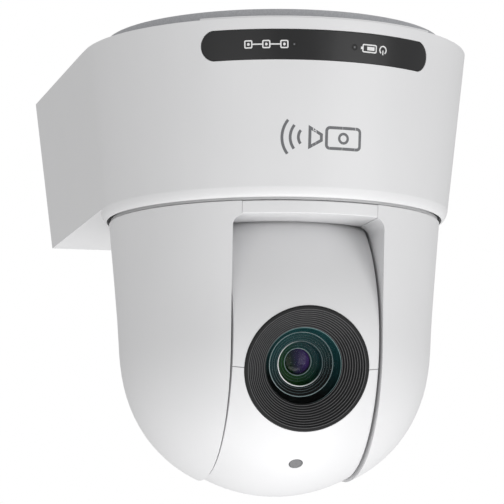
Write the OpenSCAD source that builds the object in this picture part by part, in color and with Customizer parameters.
// Ceiling-hung pan, tilt and zoom camera. Z = 0 is the ceiling, the lens looks along -Y,
// and the pan axis is the Z axis. Millimetres.

/* [Base casing] */
// Diameter of the casing's round front at the ceiling side
base_d_top = 158.4; // [150:0.2:170]
// Diameter of the casing's round front at its underside
base_d_low = 142.5; // [136:0.5:146]
// Height of the casing
base_h = 65; // [60:1:75]
// Distance from the pan axis to the back face
base_back = 121; // [110:1:130]
// Angle at which the casing's sides close towards the back
base_taper = 0.7; // [0.3:0.1:1]
// Wall thickness of the casing
base_wall = 2.5; // [2:0.1:3]
// Height of the rounded collar round the turning head
collar_h = 3.7; // [2:0.1:5]

/* [Ceiling bracket] */
// Height of the bracket between ceiling and casing
bracket_h = 5.5; // [4:0.5:10]
// Diameter of the bracket
bracket_d = 139; // [120:1:145]
// Diameter of the circle of ceiling screws
ceiling_pcd = 116; // [100:1:120]

/* [Status window] */
// Half the angle that the dark window covers
window_half_angle = 36.1; // [20:0.1:40]
// Height of the dark window
window_h = 11.9; // [8:0.1:14]
// Distance from the casing's top edge to the window
window_drop = 4.4; // [3:0.1:8]

/* [Turning head] */
// Diameter of the turning covers at their upper rim
pan_d_rim = 135.5; // [130:0.5:136]
// Diameter of the turning covers at the tilt axis
pan_d_axis = 126.6; // [124:0.2:130]
// Distance from the ceiling down to the tilt axis
tilt_drop = 124.5; // [124:0.5:130]
// Distance from the tilt axis down to the bottom of the covers
dome_h = 61.8; // [60:0.1:64]
// Squareness of the dome's outline, where 2 is an ellipse
dome_power = 2.2; // [2:0.1:2.6]
// Width of the slot that the camera ball turns in
slot_w = 61; // [60:0.2:62]
// Wall thickness of the turning covers
pan_wall = 2.4; // [2:0.1:2.6]
// Angle that the head is turned from straight ahead at rest
pan_rest = -1.7; // [-10:0.1:10]

/* [Camera ball] */
// Diameter of the camera ball
ball_d = 124; // [120:0.5:124]
// Width of the camera ball between its flat sides
ball_w = 58.6; // [56:0.2:58.8]
// Wall thickness of the ball's shells
ball_wall = 2.2; // [1.8:0.1:2.4]
// Angle that the lens looks below the horizon at rest
tilt_rest = 15.5; // [0:0.5:30]
// Outer diameter of the black lens bezel
bezel_d = 49.9; // [46:0.1:50]
// Number of steps in the lens bezel
bezel_steps = 9; // [6:1:12]

/* [Drives] */
// Module of the pan gears
pan_module = 0.9; // [0.8:0.1:0.9]
// Teeth on the pan gear
pan_teeth = 90; // [80:10:90]
// Module of the tilt gears
tilt_module = 0.8; // [0.7:0.1:0.8]
// Teeth on the tilt gear
tilt_teeth = 60; // [50:10:60]
// Teeth on both pinions
pinion_teeth = 18; // [18:1:18]

/* [Hidden] */
$fn = 96;
eps = 0.01;
big = 200;
run = 0.05;

white = [0.92, 0.92, 0.93];
black = [0.05, 0.05, 0.055];
graphite = [0.2, 0.2, 0.21];
steel = [0.62, 0.63, 0.65];
silver = [0.75, 0.75, 0.77];
brass = [0.78, 0.62, 0.3];
board_green = [0.05, 0.3, 0.18];
rubber_grey = [0.12, 0.12, 0.12];
smoke = [0.08, 0.08, 0.09];
glass_tint = [0.3, 0.45, 0.42, 0.5];

base_top_z = -bracket_h;
base_low_z = base_top_z - base_h;
collar_z = base_low_z - collar_h;
base_slope = (base_d_top - base_d_low) / 2 / base_h;
bore_r = pan_d_rim / 2 + 0.95;
plate_t = 1.5;
plate_top = base_top_z - 0.6;
plate_low = plate_top - plate_t;

tilt_z = -tilt_drop;
pan_rim_z = collar_z - 1.1;
dome_soft = 6;
dome_slope = (pan_d_rim - pan_d_axis) / 2 / (pan_rim_z - tilt_z);
fascia_half = 27.2;
seam = 0.12;
slot_top_z = pan_rim_z - 5;
slot_corner_r = 4.5;
soffit_t = 1.6;
rear_cover_z = -108;
ball_r = ball_d / 2;
ball_gap = 0.9;
cheek_wall = 1.6;
skirt_r = pan_d_rim / 2 - pan_wall - 0.15;

table_low = -58.5;
table_t = 2.5;
table_top = table_low + table_t;
hub_r = 15;
hub_bore_r = 9;
hub_flange_t = 1.5;
gear_t = 4;
pan_gear_low = table_top + hub_flange_t;
deck_low = pan_gear_low + gear_t + 1.5;
deck_t = 2;
deck_top = deck_low + deck_t;
race_w = 7;
race_out_r = 21;
race_mid_r = 18;
lock_t = 2;

pinion_r_pan = pan_module * pinion_teeth / 2;
pan_centre = pan_module * (pan_teeth + pinion_teeth) / 2;
tilt_centre = tilt_module * (tilt_teeth + pinion_teeth) / 2;
motor_shaft_r = 1.5;

board_top = -18;
board_t = 1.6;
board_low = board_top - board_t;
board_half = 58;
board_front = -45;
board_back = 108;

frame_x = 32.1;
frame_t = 1.5;
trunnion_r = 6;
tilt_gear_x = 36;
tilt_gear_t = 3.5;

lens_front = -57.2;
step_depth = 6.2;
step_r_out = 23.4;
step_r_in = 15.6;

recess_half = 56;
recess_low = -50;
recess_top = -12;
panel_y = 110.5;
panel_t = 1.5;

// Radius of the casing's round front at height z
function base_r(z) = base_d_low / 2 + base_slope * (z - base_low_z);

// Radius of the turning covers at height z: a superellipse dome that runs into a slight taper
function pan_r(z) =
    pan_d_axis / 2 * pow(1 - pow(min(1, max(0, tilt_z - z) / dome_h), dome_power), 1 / dome_power)
    + dome_slope * dome_soft * ln(1 + exp((z - tilt_z) / dome_soft)) * (z > tilt_z - dome_h / 2 ? 1 : 0);

// Heights at which the covers' outline is drawn, closer together towards the bottom of the dome
function outline_z(inset) = concat(
    [for (i = [0:4]) pan_rim_z + (tilt_z - pan_rim_z) * i / 5],
    [for (i = [0:22]) tilt_z - (dome_h - inset) * sin(90 * i / 22)]);

// Involute gear outline: pitch radius m * teeth / 2, 20 degree pressure angle, a little backlash
pressure = 20;
backlash = 0.14;
flank_points = 4;
function inv_deg(a) = tan(a) * 180 / PI - a;
function tooth_point(base, r, half) =
    let (a = acos(min(1, base / r)), t = half - inv_deg(a)) [r, t];
function gear_outline(m, teeth) =
    let (pitch = m * teeth / 2,
         base = pitch * cos(pressure),
         tip = pitch + m,
         root = pitch - 1.25 * m,
         low = max(base, root + 0.05),
         half = 90 / teeth - backlash / 2 / pitch * 180 / PI + inv_deg(pressure),
         flank = [for (i = [0:flank_points]) tooth_point(base, low + (tip - low) * i / flank_points, half)],
         tooth = concat(
             [[root, -flank[0][1] - 0.3]],
             [for (p = flank) [p[0], -p[1]]],
             [for (i = [flank_points:-1:0]) flank[i]],
             [[root, flank[0][1] + 0.3]]))
    [for (k = [0:teeth - 1]) for (p = tooth)
        [p[0] * cos(p[1] + 360 * k / teeth), p[0] * sin(p[1] + 360 * k / teeth)]];

module gear(m, teeth, thick, hole_r) {
    difference() {
        linear_extrude(thick) polygon(gear_outline(m, teeth));
        translate([0, 0, -1]) cylinder(h = thick + 2, r = hole_r);
    }
}

module disc(r, z0, z1) {
    translate([0, 0, z0]) cylinder(h = z1 - z0, r = r);
}

module ring(r_out, r_in, z0, z1) {
    difference() {
        disc(r_out, z0, z1);
        disc(r_in, z0 - 1, z1 + 1);
    }
}

// A box from one corner to the other
module block(low, high) {
    translate(low) cube(high - low);
}

// A disc or bush along X
module rod_x(r, x0, x1) {
    translate([x0, 0, 0]) rotate([0, 90, 0]) cylinder(h = x1 - x0, r = r);
}

// A disc or bush along Y
module rod_y(r, y0, y1) {
    translate([0, y0, 0]) rotate([-90, 0, 0]) cylinder(h = y1 - y0, r = r);
}

// The casing's form between two heights: half a cone in front, a wedge-sided block behind
module casing_form(inset, z0, z1, back) {
    intersection() {
        translate([0, 0, z0]) cylinder(h = z1 - z0, r1 = base_r(z0) - inset, r2 = base_r(z1) - inset);
        block([-big, -big, z0 - 1], [big, 0, z1 + 1]);
    }
    intersection() {
        translate([0, back, 0]) rotate([90, 0, 0]) linear_extrude(back)
            polygon([
                [-base_r(z0) + inset, z0], [base_r(z0) - inset, z0],
                [base_r(z1) - inset, z1], [-base_r(z1) + inset, z1]]);
        taper_side(0, inset, z0 - 1, z1 + 1);
        taper_side(1, inset, z0 - 1, z1 + 1);
    }
}

// Everything inside the tapering part of one side wall
taper_start = 12;
module taper_side(side, inset, z0, z1) {
    mirror([side, 0, 0]) translate([0, taper_start, 0]) rotate([0, 0, base_taper])
        translate([0, big, 0]) rotate([90, 0, 0]) linear_extrude(2 * big)
            polygon([[-big, z0], [base_r(z0) - inset, z0], [base_r(z1) - inset, z1], [-big, z1]]);
}

// Wedge in front of the pan axis, half_angle to each side
module front_wedge(half_angle, z0, z1) {
    translate([0, 0, z0]) linear_extrude(z1 - z0)
        polygon([[0, 0], [-big * tan(half_angle), -big], [big * tan(half_angle), -big]]);
}

// The round-ended shape of the status strip, wrapped round the front
window_mid_z = base_top_z - window_drop - window_h / 2;
window_end_angle = window_half_angle - window_h / 2 / (base_d_top / 2) * 180 / PI;
module strip_shape(inset) {
    r = window_h / 2 - inset;
    intersection() {
        union() {
            front_wedge(window_end_angle, window_mid_z - r - 2, window_mid_z + r + 2);
            for (side = [-1, 1])
                rotate([0, 0, side * window_end_angle]) translate([0, 0, window_mid_z]) rod_y(r + 0.1, -90, -60);
        }
        block([-big, -big, window_mid_z - r], [big, 0, window_mid_z + r]);
    }
}

// Places of the screws that hold the casing to its plate
boss_r = 73.2;
boss_angle = 34;
module at_bosses() {
    for (side = [-1, 1]) {
        translate([side * boss_r, 22, 0]) children();
        translate([side * (boss_r - 1.6), 96, 0]) children();
        rotate([0, 0, side * boss_angle]) translate([0, -boss_r, 0]) children();
    }
}

module at_pillars() {
    for (x = [-65.5, 65.5], y = [-8, 62]) translate([x, y, 0]) children();
    for (x = [-38, 38]) translate([x, -54, 0]) children();
}

module at_spacers() {
    for (x = [-52, 52], y = [-38, 30, 84]) translate([x, y, 0]) children();
}

module at_studs() {
    for (a = [90, 210, 330]) rotate([0, 0, a]) translate([45, 0, 0]) children();
}

// ---- base, fixed to the ceiling ----

module ceiling_bracket() {
    color(silver) difference() {
        union() {
            disc(bracket_d / 2, -1.6, 0);
            ring(bracket_d / 2, bracket_d / 2 - 1.6, -bracket_h, -1.5);
        }
        disc(32, -3, 1);
        for (a = [45:90:315]) rotate([0, 0, a]) translate([ceiling_pcd / 2, 0, 0]) disc(2.25, -3, 1);
        at_studs() disc(3, -3, 1);
    }
}

module bracket_studs() {
    color(steel) at_studs() {
        disc(3, -1.65, -0.1);
        disc(4.5, plate_top, -1.6);
        disc(2, plate_low - 1.5, plate_top);
        disc(3.5, plate_low - 1.5, plate_low);
    }
}

module rubber_feet() {
    color(rubber_grey) for (x = [-36, 36], y = [-36, 36]) translate([x, y, 0]) {
        disc(6, plate_top, plate_top + 2.5);
        disc(4.8, plate_top + 2.5 - eps, plate_top + 3.2);
    }
}

module base_plate() {
    color(steel) difference() {
        casing_form(base_wall + 0.3, plate_low, plate_top, base_back - base_wall - 0.3);
        disc(6, plate_low - 1, plate_top + 1);
        at_studs() disc(2 + run, plate_low - 1, plate_top + 1);
        at_bosses() disc(1.6, plate_low - 1, plate_top + 1);
        for (x = [-30:10:30]) block([x - 1.5, 84, plate_low - 1], [x + 1.5, 104, plate_top + 1]);
    }
}

module base_plate_screws() {
    color(steel) at_bosses() {
        disc(2.8, plate_top, plate_top + 0.5);
        disc(1.4, plate_low - 8, plate_top);
    }
}

module tripod_insert() {
    color(brass) difference() {
        union() {
            disc(6, plate_low - 8, plate_top);
            disc(8.5, plate_low - 2, plate_low);
        }
        disc(3.175, plate_low - 6.9, plate_top + 1);
    }
}

module base_cover() {
    in_low = base_low_z + base_wall;
    color(white) difference() {
        union() {
            difference() {
                union() {
                    casing_form(0, base_low_z, base_top_z, base_back);
                    rotate_extrude() polygon([
                        [60, base_low_z + eps], [base_d_low / 2 - eps, base_low_z + eps],
                        [base_d_low / 2 - 0.3, base_low_z - 1], [base_d_low / 2 - 0.9, collar_z + 1.3],
                        [bore_r + 0.9, collar_z + 0.35], [bore_r + 0.35, collar_z], [60, collar_z]]);
                }
                casing_form(base_wall, in_low, base_top_z + 1, base_back - base_wall);
            }
            intersection() {
                at_bosses() disc(3.5, plate_low - 14, plate_low);
                casing_form(1, plate_low - 20, plate_low + 1, base_back - 1);
            }
            intersection() {
                ring(base_d_top / 2 - 0.15, base_d_top / 2 - 1.6, base_top_z - 0.6, base_top_z + 0.65);
                front_wedge(window_half_angle, base_top_z - 1, base_top_z + 1);
            }
        }
        disc(bore_r, collar_z - 1, in_low + 1);
        strip_shape(0);
        block([-recess_half, base_back - base_wall - 1, recess_low],
              [recess_half, base_back + 1, recess_top]);
        at_bosses() disc(1.5, plate_low - 10, plate_low + 1);
    }
}

module status_strip() {
    color(smoke) intersection() {
        difference() {
            casing_form(0.05, -40, base_top_z, base_back);
            casing_form(2, -41, base_top_z + 1, base_back);
        }
        strip_shape(0.15);
    }
}

led_angle = 9;
module light_pipes() {
    color([0.9, 0.95, 0.9]) for (side = [-1, 1])
        rotate([0, 0, side * led_angle]) translate([0, 0, window_mid_z]) {
            rod_y(1.1, -74.7, -70);
            rod_y(1.9, -71.5, -70);
        }
}

module led_board() {
    color(board_green) block([-17, -68.2, window_mid_z - 4], [17, -66.6, window_mid_z + 4]);
    color(white) for (side = [-1, 1])
        rotate([0, 0, side * led_angle]) block([-1.2, -69.8, window_mid_z - 1.2], [1.2, -67.4, window_mid_z + 1.2]);
}

module main_board() {
    color(board_green) difference() {
        block([-board_half, board_front, board_low], [board_half, board_back, board_top]);
        at_spacers() disc(1.5, board_low - 1, board_top + 1);
    }
    color(graphite) {
        block([-14, -40, board_low - 1.8], [14, -14, board_low]);
        block([22, -36, board_low - 1.2], [36, -22, board_low]);
        block([22, 20, board_low - 1.2], [34, 38, board_low]);
        block([-44, 8, board_low - 3.5], [-32, 20, board_low]);
        block([-40, -36, board_low - 1.2], [-26, -24, board_low]);
        for (x = [-30, -18, 30, 42]) translate([x, 78, 0]) disc(4, board_low - 10, board_low);
    }
}

module board_spacers() {
    color(brass) at_spacers() {
        disc(3, board_top, plate_low);
        disc(1.4, board_low - 1.6, board_top);
        disc(2.7, board_low - 1.6, board_low);
    }
}

module heat_sink() {
    color(silver) {
        block([-18, -44, board_low - 4.3], [18, -10, board_low - 1.8]);
        for (i = [0:8]) block([-17.5 + 4.2 * i, -44, board_low - 13], [-16.1 + 4.2 * i, -10, board_low - 4.2]);
    }
}

// Connector places along X, all on the underside of the main board
lan_x = -44;
serial_x = -24;
hdmi_x = -3;
sdi_x = 17;
dc_x = 43;
modular_w = 16;
modular_h = 13.5;
switch_z = -43;
reset_x = -36;
mode_x = -20;

module rear_panel() {
    mouth = panel_y + 1;
    color(graphite) difference() {
        block([-recess_half - 2, panel_y - panel_t, recess_low - 2],
              [recess_half + 2, base_back - base_wall - 0.05, recess_top + 2]);
        block([-recess_half, panel_y, recess_low], [recess_half, base_back + 1, recess_top]);
        for (x = [lan_x, serial_x])
            block([x - modular_w / 2 - 0.1, panel_y - 3, board_low - modular_h - 0.1],
                  [x + modular_w / 2 + 0.1, mouth, board_low + 0.1]);
        block([hdmi_x - 7.6, panel_y - 3, board_low - 6.1], [hdmi_x + 7.6, mouth, board_low + 0.1]);
        translate([sdi_x, 0, -27]) rod_y(4.9, panel_y - 3, mouth);
        block([dc_x - 5.1, panel_y - 3, board_low - 11.1], [dc_x + 5.1, mouth, board_low + 0.1]);
        translate([reset_x, 0, switch_z]) rod_y(1.7, panel_y - 3, mouth);
        block([mode_x - 3.4, panel_y - 3, switch_z - 1.4], [mode_x + 3.4, mouth, switch_z + 1.4]);
        block([-board_half - 1, panel_y - 3, board_low - 0.05], [board_half + 1, panel_y - panel_t + eps, board_top + 0.05]);
    }
}

module modular_sockets() {
    color(silver) for (x = [lan_x, serial_x]) translate([x, 0, board_low]) difference() {
        block([-modular_w / 2, 90, -modular_h], [modular_w / 2, panel_y + 0.8, 0]);
        block([-5.9, 98, -11], [5.9, panel_y + 2, -3.5]);
        block([-3.1, 98, -12.4], [3.1, panel_y + 2, -10.9]);
    }
}

module hdmi_socket() {
    color(silver) translate([hdmi_x, 0, board_low]) {
        difference() {
            block([-7.5, 99, -6], [7.5, panel_y + 0.8, 0]);
            block([-6.95, 101, -5.3], [6.95, panel_y + 2, -0.75]);
        }
        block([-5, 100.5, -3.6], [5, panel_y - 1, -2.4]);
    }
}

module sdi_connector() {
    color(silver) translate([sdi_x, 0, -27]) {
        difference() {
            union() {
                block([-7, 96, -7], [7, panel_y - panel_t - 0.05, 27 + board_low]);
                rod_y(4.8, 108, base_back - 0.8);
                for (side = [-1, 1]) translate([side * 4.6, base_back - 3.6, 0]) rotate([0, 90, 0])
                    cylinder(h = 2.2, r = 1, center = true);
            }
            rod_y(3.7, panel_y - 1, base_back + 1);
        }
        rod_y(2, panel_y - 1.5, base_back - 3);
    }
}

module dc_jack() {
    color(black) translate([dc_x, 0, board_low - 5.5]) {
        difference() {
            block([-5, 97, -5.5], [5, panel_y + 0.8, 5.5]);
            rod_y(2.9, 101, panel_y + 2);
        }
        rod_y(0.9, 100.5, panel_y - 1);
    }
}

module switch_board() {
    color(board_green) difference() {
        block([-42, 99.5, switch_z - 5], [-12, 101.1, switch_z + 5]);
        translate([reset_x, 0, switch_z]) rod_y(1.7 + run, 98, 103);
    }
    color(graphite) {
        difference() {
            block([reset_x - 3.1, 101.1, switch_z - 3.1], [reset_x + 3.1, 104.6, switch_z + 3.1]);
            translate([reset_x, 0, switch_z]) rod_y(1.3 + run, 100, 106);
            translate([reset_x, 0, switch_z]) rod_y(2.2 + run, 101.2, 103.6);
        }
        difference() {
            block([mode_x - 5, 101.1, switch_z - 2.2], [mode_x + 5, 106.2, switch_z + 2.2]);
            block([mode_x - 3.2, 103, switch_z - 1.3], [mode_x + 3.2, 107, switch_z + 1.3]);
        }
    }
}

module reset_button() {
    color(graphite) translate([reset_x, 0, switch_z]) {
        rod_y(1.3, 102.6, 105.2);
        rod_y(2.2, 102.6, 103.5);
        rod_y(1.3, 105.1, panel_y + 0.5);
    }
}

module mode_switch() {
    color(white) translate([mode_x - 1, 0, switch_z]) {
        block([-2.1, 103.1, -1.2], [2.1, 105, 1.2]);
        block([-1.2, 105 - eps, -1.2], [1.2, panel_y + 0.9, 1.2]);
    }
}

module base_deck() {
    color(steel) difference() {
        union() {
            intersection() {
                disc(70, deck_low, deck_top);
                block([-big, -big, -big], [big, 0, big]);
            }
            block([-70, 0, deck_low], [70, 74, deck_top]);
        }
        disc(24.6, deck_low - 1, deck_top + 1);
        translate([0, pan_centre, 0]) disc(9.6, deck_low - 1, deck_top + 1);
        at_pillars() disc(1.5, deck_low - 1, deck_top + 1);
        for (x = [-48, 48]) block([x - 9, 20, deck_low - 1], [x + 9, 56, deck_top + 1]);
    }
}

module deck_pillars() {
    color(steel) at_pillars() {
        disc(3.2, deck_top, plate_low);
        disc(1.4, deck_low - 1.2, deck_top);
        disc(2.7, deck_low - 1.2, deck_low);
    }
}

module bearing_housing() {
    color(silver) difference() {
        union() {
            disc(24.5, deck_low, deck_top + race_w);
            disc(29.5, deck_top, deck_top + 2);
        }
        disc(race_out_r, deck_top, deck_top + race_w + 1);
        disc(19.5, deck_low - 1, deck_top + 1);
    }
}

// Ball groove shared by both rings of the pan bearing
module race_groove() {
    translate([0, 0, deck_top + race_w / 2]) rotate_extrude() translate([race_mid_r, 0]) circle(r = 2.1, $fn = 48);
}

module bearing_outer_ring() {
    color(steel) difference() {
        ring(race_out_r, 19.3, deck_top, deck_top + race_w);
        race_groove();
    }
}

module bearing_balls() {
    color(silver) for (a = [0:20:340]) rotate([0, 0, a])
        translate([race_mid_r, 0, deck_top + race_w / 2]) sphere(r = 2, $fn = 32);
}

module pan_motor() {
    color(silver) translate([0, pan_centre, 0]) difference() {
        union() {
            disc(17.4, deck_top + 1.5, deck_top + 20);
            translate([0, 0, deck_top]) linear_extrude(1.5) difference() {
                hull() for (x = [-20, 20]) translate([x, 0]) circle(r = 8, $fn = 32);
                for (x = [-21, 21]) translate([x, 0]) circle(r = 1.6);
            }
            disc(9.5, deck_low, deck_top + eps);
        }
        disc(motor_shaft_r + run, deck_low - 1, deck_top + 21);
    }
}

module pan_pinion() {
    color(brass) translate([0, pan_centre, 0]) {
        translate([0, 0, pan_gear_low]) rotate([0, 0, 180 / pinion_teeth])
            gear(pan_module, pinion_teeth, gear_t, motor_shaft_r);
        disc(motor_shaft_r, pan_gear_low, deck_top + 18);
    }
}

module base_harness() {
    color(graphite) block([-9, -4, board_low - 6], [9, 4, board_low]);
    color(black) disc(3, table_top + 1.2, board_low - 5);
}

// ---- turning head ----

// Turns a part of the head, drawn straight ahead, to its rest angle
module turned() {
    rotate([0, 0, pan_rest]) children();
}

module pan_shaft() {
    color(steel) difference() {
        union() {
            disc(24, table_top, pan_gear_low);
            disc(hub_r, pan_gear_low - eps, deck_top + race_w + lock_t);
            disc(17, pan_gear_low + gear_t + run, deck_top);
        }
        disc(hub_bore_r, table_top - 1, deck_top + race_w + 5);
    }
}

module bearing_inner_ring() {
    color(steel) difference() {
        ring(16.7, hub_r, deck_top, deck_top + race_w);
        race_groove();
    }
}

module pan_gear() {
    color(white) translate([0, 0, pan_gear_low]) difference() {
        gear(pan_module, pan_teeth, gear_t, hub_r);
        for (a = [0:60:300]) rotate([0, 0, a]) translate([29, 0, 0]) disc(5, -1, gear_t + 1);
    }
}

module pan_lock_ring() {
    color(steel) ring(18, hub_r, deck_top + race_w, deck_top + race_w + lock_t - 0.2);
}

module turntable() {
    color(white) difference() {
        union() {
            disc(skirt_r, table_low, table_top);
            ring(skirt_r, skirt_r - 1.6, pan_rim_z - 1.2, table_top);
            ring(pan_d_rim / 2 - 0.7, skirt_r - 1, pan_rim_z + 0.3, pan_rim_z + 1.9);
        }
        disc(hub_bore_r, table_low - 1, table_top + 1);
    }
}

// The covers' full outline as a solid, thinner by inset
module pan_form(inset) {
    rotate_extrude() polygon(concat(
        [[0, pan_rim_z + (inset > 0 ? 1 : 0)]],
        inset > 0 ? [[pan_r(pan_rim_z) - inset, pan_rim_z + 1]] : [],
        [for (z = outline_z(inset)) [max(0, pan_r(z) - (z < tilt_z - 50 ? inset * 0.6 : inset)), z]],
        [[0, tilt_z - dome_h + inset]]));
}

// The covers' shell, trimmed to what one piece keeps
module pan_shell() {
    intersection() {
        difference() {
            pan_form(0);
            pan_form(pan_wall);
        }
        children();
    }
}

// Outline of the slot seen from the front, with rounded upper corners
module slot_front(half, top) {
    rotate([90, 0, 0]) linear_extrude(big) difference() {
        translate([-half, -big]) square([2 * half, big + top]);
        for (side = [-1, 1]) difference() {
            translate([side > 0 ? half - slot_corner_r : -half - 1, top - slot_corner_r])
                square([slot_corner_r + 1, slot_corner_r + 1]);
            translate([side * (half - slot_corner_r), top - slot_corner_r]) circle(r = slot_corner_r);
        }
    }
}

module pan_cheek() {
    half = slot_w / 2;
    difference() {
        union() {
            pan_shell() block([fascia_half + seam, -big, -big], [big, big, big]);
            intersection() {
                pan_form(0.8);
                block([half, -big, -big], [half + cheek_wall, big, pan_rim_z - 1.3]);
            }
            intersection() {
                pan_form(0.8);
                block([fascia_half + seam, -big, slot_top_z - slot_corner_r], [half + 0.5, -30, slot_top_z + soffit_t]);
            }
        }
        slot_front(half, slot_top_z);
        block([-half, -eps, -big], [half, big, rear_cover_z]);
        intersection() {
            translate([0, 0, tilt_z]) ball_form(ball_r + ball_gap, half);
            block([-half, -big, -big], [half, -20, big]);
        }
        rod_hole();
    }
}

module rod_hole() {
    translate([0, 0, tilt_z]) rod_x(9.5, 20, 50);
}

module pan_cover_right() {
    color(white) turned() pan_cheek();
}

module pan_cover_left() {
    color(white) turned() mirror([1, 0, 0]) pan_cheek();
}

module pan_fascia() {
    half = slot_w / 2;
    color(white) turned() difference() {
        union() {
            pan_shell() block([-fascia_half, -big, slot_top_z], [fascia_half, 0, big]);
            intersection() {
                pan_form(pan_wall - eps);
                block([-fascia_half, -big, slot_top_z], [fascia_half, -30, slot_top_z + soffit_t]);
            }
        }
        translate([0, 0, tilt_z]) sphere(r = ball_r + ball_gap);
    }
}

module pan_cover_rear() {
    color(white) turned() difference() {
        pan_shell() block([-fascia_half, 0, rear_cover_z], [fascia_half, big, big]);
        translate([0, 0, tilt_z]) sphere(r = ball_r + 0.4);
    }
}

module tilt_frame() {
    x0 = frame_x;
    x1 = frame_x + frame_t;
    difference() {
        union() {
            block([x0, -24, -146], [x1, 24, table_low]);
            block([x0, -20, table_low - frame_t], [50, -6, table_low]);
            block([x0, 6, table_low - frame_t], [50, 20, table_low]);
        }
        translate([0, 0, tilt_z]) rod_x(9, 20, 60);
        for (z = [-88, -74]) block([x0 - 1, -16, z - 4], [x1 + 1, 16, z + 4]);
        translate([0, 0, -65]) block([x0 - 1, -6, -4], [x1 + 1, 6, 8]);
    }
}

module tilt_frame_right() {
    color(steel) turned() tilt_frame();
}

module tilt_frame_left() {
    color(steel) turned() mirror([1, 0, 0]) tilt_frame();
}

module tilt_bushes() {
    x0 = frame_x;
    x1 = frame_x + frame_t;
    color(brass) turned() for (side = [0, 1]) mirror([side, 0, 0]) translate([0, 0, tilt_z]) difference() {
        union() {
            rod_x(9, x0, x1);
            rod_x(11, x1, x1 + 1.2);
        }
        rod_x(trunnion_r + run, 20, 60);
    }
}

tilt_plate_x = tilt_gear_x + tilt_gear_t + 1.2;
module tilt_motor_bracket() {
    color(steel) turned() mirror([1, 0, 0]) difference() {
        union() {
            block([tilt_plate_x, -19, -109], [tilt_plate_x + 1.3, 19, -76]);
            for (side = [-1, 1])
                block([frame_x + frame_t, side > 0 ? 16.2 : -19, -84], [tilt_plate_x + eps, side > 0 ? 19 : -16.2, -77]);
        }
        translate([0, 0, tilt_z + tilt_centre]) rod_x(5, 30, 50);
    }
}

module tilt_motor() {
    x0 = tilt_plate_x + 1.3;
    color(silver) turned() mirror([1, 0, 0]) translate([0, 0, tilt_z + tilt_centre]) difference() {
        union() {
            rod_x(14, x0, x0 + 16);
            rod_x(4.9, tilt_plate_x + 0.1, x0 + eps);
        }
        rod_x(motor_shaft_r + run, 30, x0 + 15);
    }
}

module tilt_pinion() {
    color(brass) turned() mirror([1, 0, 0]) translate([0, 0, tilt_z + tilt_centre]) {
        translate([tilt_gear_x, 0, 0]) rotate([0, 90, 0]) rotate([0, 0, 180 / pinion_teeth])
            gear(tilt_module, pinion_teeth, tilt_gear_t, motor_shaft_r);
        rod_x(motor_shaft_r, tilt_gear_x, tilt_plate_x + 14);
    }
}

module tilt_board() {
    x0 = frame_x + frame_t;
    color(board_green) turned() block([x0 + 2.4, -23, -110], [x0 + 4, 23, -70]);
    color(brass) turned() for (y = [-20, 20], z = [-107, -73]) translate([0, y, z]) rod_x(2, x0, x0 + 2.4);
    color(graphite) turned() {
        block([x0 + 4, -8, -98], [x0 + 5.2, 6, -84]);
        block([x0 + 4, -16, -80], [x0 + 7, 10, -75]);
    }
}

module flex_cable() {
    color([0.75, 0.5, 0.2]) turned() {
        block([-6, -4, table_low - 1], [46, 4, table_low - 0.4]);
        block([45.4, -4, tilt_z - 4], [46, 4, table_low - 0.4 - eps]);
        block([trunnion_end + 1, -4, tilt_z - 0.3], [46, 4, tilt_z + 0.3]);
    }
}

// ---- camera ball ----

trunnion_end = 40;
ball_half = ball_w / 2;

// Puts a ball part, drawn with the lens level, at its rest angle
module on_ball() {
    turned() translate([0, 0, tilt_z]) rotate([tilt_rest, 0, 0]) children();
}

module ball_form(r, half) {
    intersection() {
        rotate([90, 0, 0]) sphere(r = r);
        block([-half, -big, -big], [half, big, big]);
    }
}

tally_angle = 39.8;
module ball_shell() {
    difference() {
        ball_form(ball_r, ball_half);
        ball_form(ball_r - ball_wall, ball_half - 2);
        rod_y(bezel_d / 2 + 0.15, -70, -40);
        rod_x(8, -40, 40);
        rotate([tally_angle, 0, 0]) rod_y(2.85, -70, -50);
    }
}

module ball_shell_upper() {
    color(white) on_ball() intersection() {
        ball_shell();
        block([-big, -big, seam], [big, big, big]);
    }
}

module ball_shell_lower() {
    color(white) on_ball() intersection() {
        ball_shell();
        block([-big, -big, -big], [big, big, -seam]);
    }
}

module camera_bracket() {
    color(steel) on_ball() difference() {
        union() {
            for (side = [0, 1]) mirror([side, 0, 0]) block([24.2, -20, -24], [25.7, 20, 16]);
            block([-25, -24, -24], [25, 20, -22.5]);
            for (x = [-14, 14], y = [-18, 14]) translate([x, y, 0]) disc(3, -22.6, -20);
        }
        rod_x(4.5, -40, 40);
    }
}

module trunnions() {
    color(steel) turned() translate([0, 0, tilt_z]) for (side = [0, 1]) mirror([side, 0, 0]) difference() {
        union() {
            rod_x(12, 25.7, ball_half - 2.1);
            rod_x(trunnion_r, 25.7, trunnion_end);
        }
        rod_x(4, 20, 50);
    }
}

module tilt_gear() {
    color(white) turned() mirror([1, 0, 0]) translate([tilt_gear_x, 0, tilt_z]) rotate([0, 90, 0])
        difference() {
            gear(tilt_module, tilt_teeth, tilt_gear_t, trunnion_r);
            for (a = [30:60:330]) rotate([0, 0, a]) translate([15, 0, 0]) disc(4, -1, tilt_gear_t + 1);
        }
}

tube_r = 13.2;
module zoom_block() {
    color(graphite) on_ball() difference() {
        block([-20, -38, -20], [20, 22, 20]);
        rod_y(tube_r, -39, 23);
        for (side = [-1, 1]) translate([0, 0, side * rod_offset]) rod_y(0.8, -37, 20);
    }
}

module lens_barrel() {
    color(black) on_ball() difference() {
        union() {
            rod_y(14.8, -50.6, -38);
            rod_y(18, -39.5, -38);
        }
        rod_y(13.4, -52, -46);
        rod_y(11.2, -52, -44.6);
        rod_y(8.2, -52, -43.4);
        rod_y(6.2, -52, -36);
        rod_y(13.3, -42.2, -37);
    }
}

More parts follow.
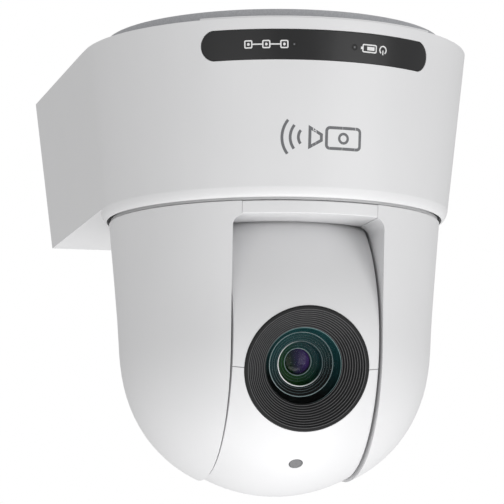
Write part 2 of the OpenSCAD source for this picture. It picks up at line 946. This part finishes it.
module front_element() {
    cap_r = 30;
    edge_r = 13.3;
    edge_y = -49.4;
    color(glass_tint) on_ball() intersection() {
        translate([0, edge_y + sqrt(cap_r * cap_r - edge_r * edge_r), 0]) sphere(r = cap_r);
        rod_y(edge_r, -60, -46);
    }
}

module lens_bezel() {
    dr = (step_r_out - step_r_in) / bezel_steps;
    dy = step_depth / bezel_steps;
    color(black) on_ball() difference() {
        union() {
            rod_y(bezel_d / 2, lens_front, -49.2);
            rod_y(27.3, -52.8, -51.4);
        }
        for (i = [0:bezel_steps - 1])
            rod_y(step_r_out - dr * i, lens_front + dy * i - (i == 0 ? 1 : eps), lens_front + dy * (i + 1));
        rod_y(14.95, lens_front, -49);
    }
}

rod_offset = 10.9;
module guide_rods() {
    color(steel) on_ball() for (side = [-1, 1]) translate([0, 0, side * rod_offset]) rod_y(0.8, -42.1, 19);
}

module sensor_board() {
    color(board_green) on_ball() block([-18, 22, -18], [18, 23.6, 18]);
    color(graphite) on_ball() {
        block([-7, 20.4, -5.5], [7, 22, 5.5]);
        block([-12, 23.6, -9], [12, 26.4, 9]);
    }
}

module tally_window() {
    color(graphite) on_ball() rotate([tally_angle, 0, 0]) rod_y(2.7, -ball_r + 0.15, -ball_r + ball_wall);
}

// A lens carrier that slides on both guide rods
module carrier(y0, y1, lens_r, cap_r) {
    difference() {
        rod_y(tube_r - 0.5, y0, y1);
        rod_y(lens_r, y0 - 1, y1 + 1);
        for (side = [-1, 1]) translate([0, 0, side * rod_offset]) rod_y(0.8 + run, y0 - 1, y1 + 1);
    }
    intersection() {
        translate([0, y0 + cap_r, 0]) sphere(r = cap_r);
        rod_y(lens_r + eps, y0 - 1, y1 - 1);
    }
}

module zoom_group() {
    color(graphite) on_ball() carrier(-41.5, -36, 8, 16);
}

module focus_group() {
    color(graphite) on_ball() carrier(4, 9, 7, 18);
}

ceiling_bracket();
bracket_studs();
rubber_feet();
base_plate();
base_plate_screws();
tripod_insert();
base_cover();
status_strip();
light_pipes();
led_board();
main_board();
board_spacers();
heat_sink();
rear_panel();
modular_sockets();
hdmi_socket();
sdi_connector();
dc_jack();
switch_board();
reset_button();
mode_switch();
base_deck();
deck_pillars();
bearing_housing();
bearing_outer_ring();
bearing_balls();
pan_motor();
pan_pinion();
base_harness();
pan_shaft();
bearing_inner_ring();
pan_gear();
pan_lock_ring();
turntable();
tilt_frame_left();
tilt_frame_right();
tilt_bushes();
tilt_motor();
tilt_motor_bracket();
tilt_pinion();
tilt_board();
flex_cable();
pan_cover_left();
pan_cover_right();
pan_fascia();
pan_cover_rear();
ball_shell_upper();
ball_shell_lower();
camera_bracket();
trunnions();
tilt_gear();
zoom_block();
lens_barrel();
front_element();
lens_bezel();
guide_rods();
sensor_board();
tally_window();
zoom_group();
focus_group();
